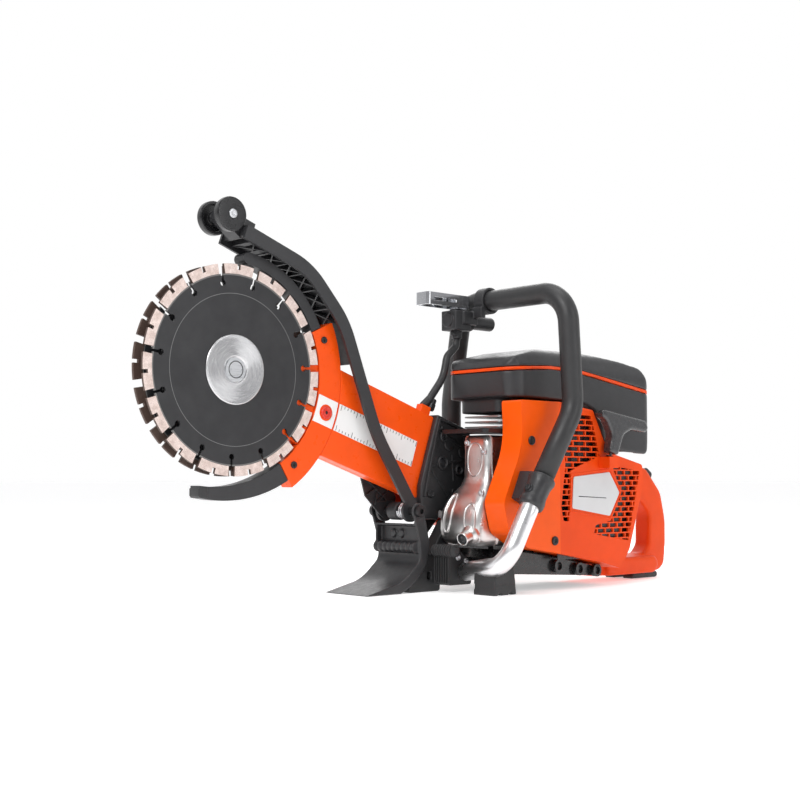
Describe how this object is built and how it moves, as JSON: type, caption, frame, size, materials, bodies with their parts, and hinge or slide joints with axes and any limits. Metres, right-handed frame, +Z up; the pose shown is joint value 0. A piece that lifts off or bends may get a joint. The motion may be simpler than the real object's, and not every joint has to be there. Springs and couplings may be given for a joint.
{
  "type": "rescue saw",
  "caption": "Petrol power cutter with twin diamond blades on a long thin arm, swinging splash guards, front tube handle and rear D handle.",
  "frame": {"origin": "middle of the saw's base on the ground", "axes": "+X forward to the blades, +Y to the starter side, +Z up"},
  "size_m": [0.808, 0.2472, 0.438],
  "materials": {
    "blade_steel": "satin black lacquer",
    "diamond": "sintered diamond bond, sanded",
    "turned_aluminium": "fine turned",
    "zinc_steel": "zinc plated",
    "black_steel": "black oxide",
    "shaft_steel": "ground",
    "arm_orange": "smooth orange paint",
    "cover_orange": "smooth moulded orange",
    "front_orange": "smooth moulded orange",
    "dark_plastic": "fine grain dark grey",
    "black_plastic": "fine grain black",
    "dark_casting": "dark grey casting",
    "rubber": "moulded rubber",
    "decal": "printed white film",
    "label": "satin plate",
    "muffler_steel": "bright stamped",
    "cast_aluminium": "sand cast",
    "ceramic": "glazed",
    "paper": "pleated",
    "bare_tube": "polished",
    "chrome": "polished",
    "red_plastic": "moulded",
    "blue_plastic": "moulded"
  },
  "bodies": {
    "machine": {"bearings": "shaft_steel", "arm_body": "arm_orange", "arm_lid": "arm_orange", "crescent_guard": "arm_orange", "ruler_decal": "decal", "upper_kerf_arc": "dark_plastic", "lower_kerf_arc": "dark_plastic", "drive_belts": "rubber", "screws": "black_steel", "pivot_bolt": "zinc_steel", "guard_spring": "zinc_steel", "arm_mount": "dark_casting", "front_support": "rubber", "belt_guard": "cover_orange", "crankcase_near": "dark_casting", "crankcase_far": "dark_casting", "engine_cylinder": "cast_aluminium", "piston": "cast_aluminium", "spark_plug": "ceramic", "heat_plate": "black_steel", "muffler": "muffler_steel", "carburettor": "cast_aluminium", "air_filter": "paper", "cylinder_cover": "front_orange", "starter_cover": "cover_orange", "label_plate": "label", "filter_housing": "dark_plastic", "filter_cover": "dark_plastic", "filter_stripe": "cover_orange", "rear_handle": "cover_orange", "underframe": "black_plastic", "rubber_feet": "rubber", "handle_tube": "bare_tube", "handle_grip": "dark_plastic", "handle_clamp": "dark_plastic", "valve_body": "dark_casting", "water_hose": "rubber"},
    "blades": {"near_blade": "blade_steel", "far_blade": "blade_steel", "diamond_segments": "diamond", "hub_flanges": "turned_aluminium", "blade_bolts": "zinc_steel", "arbor": "shaft_steel"},
    "jackshaft": {"jackshaft": "shaft_steel"},
    "clutch_drum": {"clutch_drum": "shaft_steel"},
    "crank": {"crankshaft": "shaft_steel", "clutch_shoes": "cast_aluminium", "flywheel": "cast_aluminium"},
    "reel": {"rope_reel": "black_plastic"},
    "starter_handle": {"starter_handle": "dark_plastic"},
    "splash_guard": {"guard_frame": "dark_plastic"},
    "guard_wheels": {"guard_wheels": "black_plastic", "wheel_axle": "zinc_steel"},
    "splash_shoe": {"splash_shoe": "dark_plastic"},
    "throttle_trigger": {"throttle_trigger": "black_plastic"},
    "throttle_lock": {"throttle_lock": "black_plastic"},
    "stop_switch": {"stop_switch": "red_plastic"},
    "fuel_cap": {"fuel_cap": "black_plastic"},
    "decompressor": {"decompressor": "blue_plastic"},
    "valve_lever": {"valve_lever": "chrome"}
  },
  "joints": [
    {"name": "blade_spin", "type": "hinge", "parent": "machine", "child": "blades", "pos_m": [0.289, -0.05085, 0.252], "axis": [0, 1, 0], "continuous": true},
    {"name": "jackshaft_spin", "type": "hinge", "parent": "machine", "child": "jackshaft", "pos_m": [-0.02395, -0.05085, 0.14729], "axis": [0, 1, 0], "continuous": true},
    {"name": "drum_spin", "type": "hinge", "parent": "machine", "child": "clutch_drum", "pos_m": [-0.141, -0.05085, 0.118], "axis": [0, 1, 0], "continuous": true},
    {"name": "crank_spin", "type": "hinge", "parent": "machine", "child": "crank", "pos_m": [-0.141, -0.05085, 0.118], "axis": [0, 1, 0], "continuous": true},
    {"name": "starter_pull", "type": "slide", "parent": "machine", "child": "starter_handle", "axis": [-0.4226, 0, 0.9063], "range_m": [0, 0.8], "stiffness_N_per_m": 6, "springref_m": -0.3},
    {"name": "reel_spin", "type": "hinge", "parent": "machine", "child": "reel", "pos_m": [-0.141, -0.05085, 0.118], "axis": [0, 1, 0], "continuous": true},
    {"name": "guard_swing", "type": "hinge", "parent": "machine", "child": "splash_guard", "pos_m": [0.042, -0.05085, 0.096], "axis": [0, -1, 0], "range_deg": [0, 28], "stiffness_Nm_per_rad": 0.8, "springref_deg": -22.92},
    {"name": "wheel_spin", "type": "hinge", "parent": "splash_guard", "child": "guard_wheels", "pos_m": [0.301, -0.05085, 0.419], "axis": [0, 1, 0], "continuous": true},
    {"name": "shoe_swing", "type": "hinge", "parent": "machine", "child": "splash_shoe", "pos_m": [0.042, -0.05085, 0.096], "axis": [0, -1, 0], "range_deg": [0, 35], "stiffness_Nm_per_rad": 0.2, "springref_deg": -17.19},
    {"name": "trigger_pull", "type": "hinge", "parent": "machine", "child": "throttle_trigger", "pos_m": [-0.309, 0.00715, 0.122], "axis": [0, 1, 0], "range_deg": [0, 12], "stiffness_Nm_per_rad": 0.15, "springref_deg": -11.46},
    {"name": "lock_press", "type": "hinge", "parent": "machine", "child": "throttle_lock", "pos_m": [-0.353, 0.00715, 0.128], "axis": [0, -1, 0], "range_deg": [0, 9], "stiffness_Nm_per_rad": 0.15, "springref_deg": -11.46},
    {"name": "stop_slide", "type": "slide", "parent": "machine", "child": "stop_switch", "axis": [-1, 0, 0], "range_m": [0, 0.005]},
    {"name": "cap_turn", "type": "hinge", "parent": "machine", "child": "fuel_cap", "pos_m": [-0.241, -0.02885, 0.086], "axis": [0, -1, 0], "range_deg": [0, 90]},
    {"name": "decompressor_press", "type": "slide", "parent": "machine", "child": "decompressor", "axis": [0, 1, 0], "range_m": [0, 0.0035], "stiffness_N_per_m": 800, "springref_m": -0.001},
    {"name": "valve_turn", "type": "hinge", "parent": "machine", "child": "valve_lever", "pos_m": [-0.061, -0.05085, 0.36], "axis": [0, 0, 1], "range_deg": [0, 90]}
  ],
  "couplings": [
    {"joint": "jackshaft_spin", "follows": "blade_spin", "ratio": 1},
    {"joint": "drum_spin", "follows": "blade_spin", "ratio": 1},
    {"joint": "reel_spin", "follows": "starter_pull", "rad_per_m": 45.455}
  ]
}
